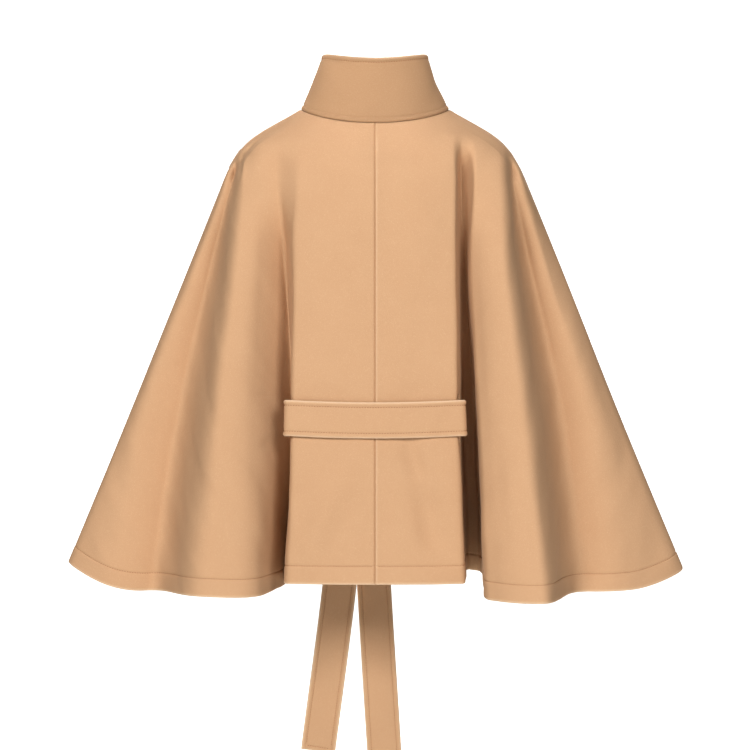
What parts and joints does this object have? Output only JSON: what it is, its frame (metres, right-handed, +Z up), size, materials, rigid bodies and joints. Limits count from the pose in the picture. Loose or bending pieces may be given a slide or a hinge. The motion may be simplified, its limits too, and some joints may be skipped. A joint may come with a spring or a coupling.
{
  "type": "wool cape",
  "caption": "Hip-length wool cape with a standing funnel collar, deep uneven side folds and a tie belt that runs through slits and is knotted in front, filled out as it is worn.",
  "frame": {"origin": "where the shoulders hold the cape up: on the centre line, level with the sides of the neck seam", "axes": "+Z up, +Y towards the wearer's back, +X towards the wearer's left"},
  "size_m": [0.8659, 0.3443, 1.0344],
  "materials": {
    "body_wool": "felted camel wool with a short brushed nap",
    "collar_wool": "felted camel wool, edge stitched",
    "belt_wool": "two layers of felted camel wool, edge stitched"
  },
  "bodies": {
    "root": {"back_left": "body_wool", "back_right": "body_wool", "front_left": "body_wool", "front_right": "body_wool", "collar": "collar_wool", "belt_back": "belt_wool", "belt_side_left": "belt_wool", "belt_side_right": "belt_wool", "belt_front_left": "belt_wool", "belt_front_right": "belt_wool", "belt_knot": "belt_wool", "belt_tail_left": "belt_wool", "belt_tail_right": "belt_wool"}
  },
  "joints": []
}
